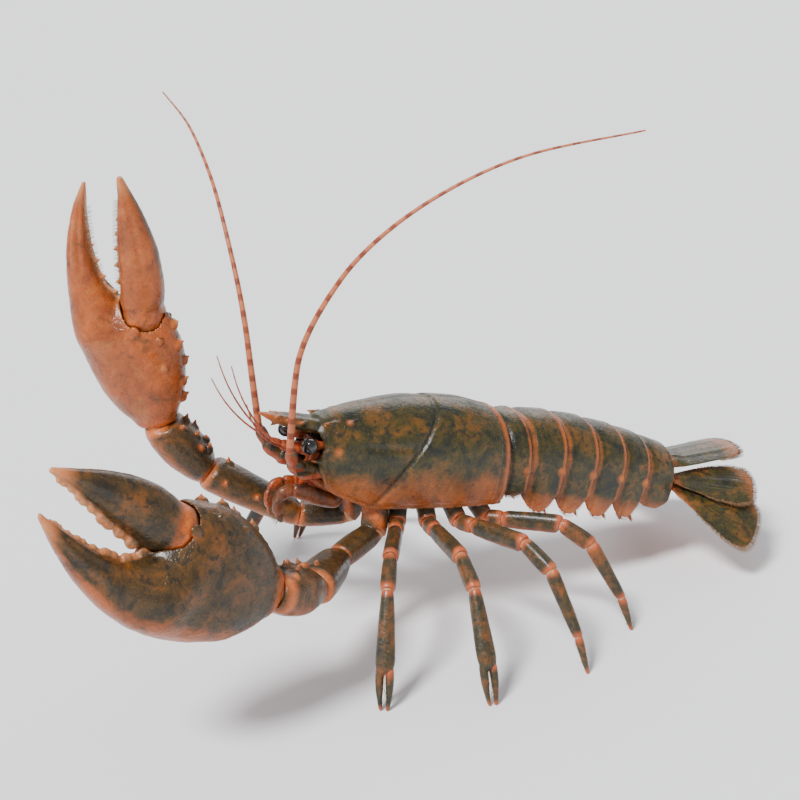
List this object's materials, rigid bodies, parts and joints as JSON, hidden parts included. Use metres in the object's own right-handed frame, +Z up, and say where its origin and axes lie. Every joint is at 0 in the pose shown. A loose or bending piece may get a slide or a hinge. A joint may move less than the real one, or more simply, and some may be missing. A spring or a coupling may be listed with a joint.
{
  "type": "american lobster",
  "caption": "Adult male lobster standing on its walking legs, one heavy claw raised and one held out in front, with spread tail fan and long feelers.",
  "frame": {"origin": "on the floor under the centre of the animal's bounding box", "axes": "+Z up, -Y the way the animal faces, +X its left side"},
  "size_m": [0.3295, 0.4878, 0.3005],
  "materials": {
    "shell": "satin shell, dark olive and blue-black mottling over orange-brown",
    "claw_shell": "satin shell, dark brown and olive above, orange-red beneath and along the edges",
    "leg_shell": "satin shell, orange-brown with dark bands",
    "feeler_shell": "satin, red with fine darker rings",
    "eye": "glossy black cornea on a brown stalk"
  },
  "bodies": {
    "root": {"head": "shell", "thorax": "shell", "abdomen_1": "shell", "abdomen_2": "shell", "abdomen_3": "shell", "abdomen_4": "shell", "abdomen_5": "shell", "abdomen_6": "shell", "telson": "shell", "uropod_inner_left": "shell", "uropod_inner_right": "shell", "uropod_outer_left": "shell", "uropod_outer_right": "shell", "eye_left": "eye", "antennule_left": "feeler_shell", "antenna_base_left": "feeler_shell", "antenna_left_1": "feeler_shell", "antenna_left_2": "feeler_shell", "maxilliped_left": "leg_shell", "left_claw_hip": "claw_shell", "left_claw_merus": "claw_shell", "left_claw_carpus": "claw_shell", "left_claw_palm": "claw_shell", "left_claw_finger": "claw_shell", "left_leg_1_upper": "leg_shell", "left_leg_1_lower": "leg_shell", "left_leg_1_tip": "leg_shell", "left_leg_2_upper": "leg_shell", "left_leg_2_lower": "leg_shell", "left_leg_2_tip": "leg_shell", "left_leg_3_upper": "leg_shell", "left_leg_3_lower": "leg_shell", "left_leg_3_tip": "leg_shell", "left_leg_4_upper": "leg_shell", "left_leg_4_lower": "leg_shell", "left_leg_4_tip": "leg_shell", "eye_right": "eye", "antennule_right": "feeler_shell", "antenna_base_right": "feeler_shell", "antenna_right_1": "feeler_shell", "antenna_right_2": "feeler_shell", "maxilliped_right": "leg_shell", "right_claw_hip": "claw_shell", "right_claw_merus": "claw_shell", "right_claw_carpus": "claw_shell", "right_claw_palm": "claw_shell", "right_claw_finger": "claw_shell", "right_leg_1_upper": "leg_shell", "right_leg_1_lower": "leg_shell", "right_leg_1_tip": "leg_shell", "right_leg_2_upper": "leg_shell", "right_leg_2_lower": "leg_shell", "right_leg_2_tip": "leg_shell", "right_leg_3_upper": "leg_shell", "right_leg_3_lower": "leg_shell", "right_leg_3_tip": "leg_shell", "right_leg_4_upper": "leg_shell", "right_leg_4_lower": "leg_shell", "right_leg_4_tip": "leg_shell"}
  },
  "joints": []
}
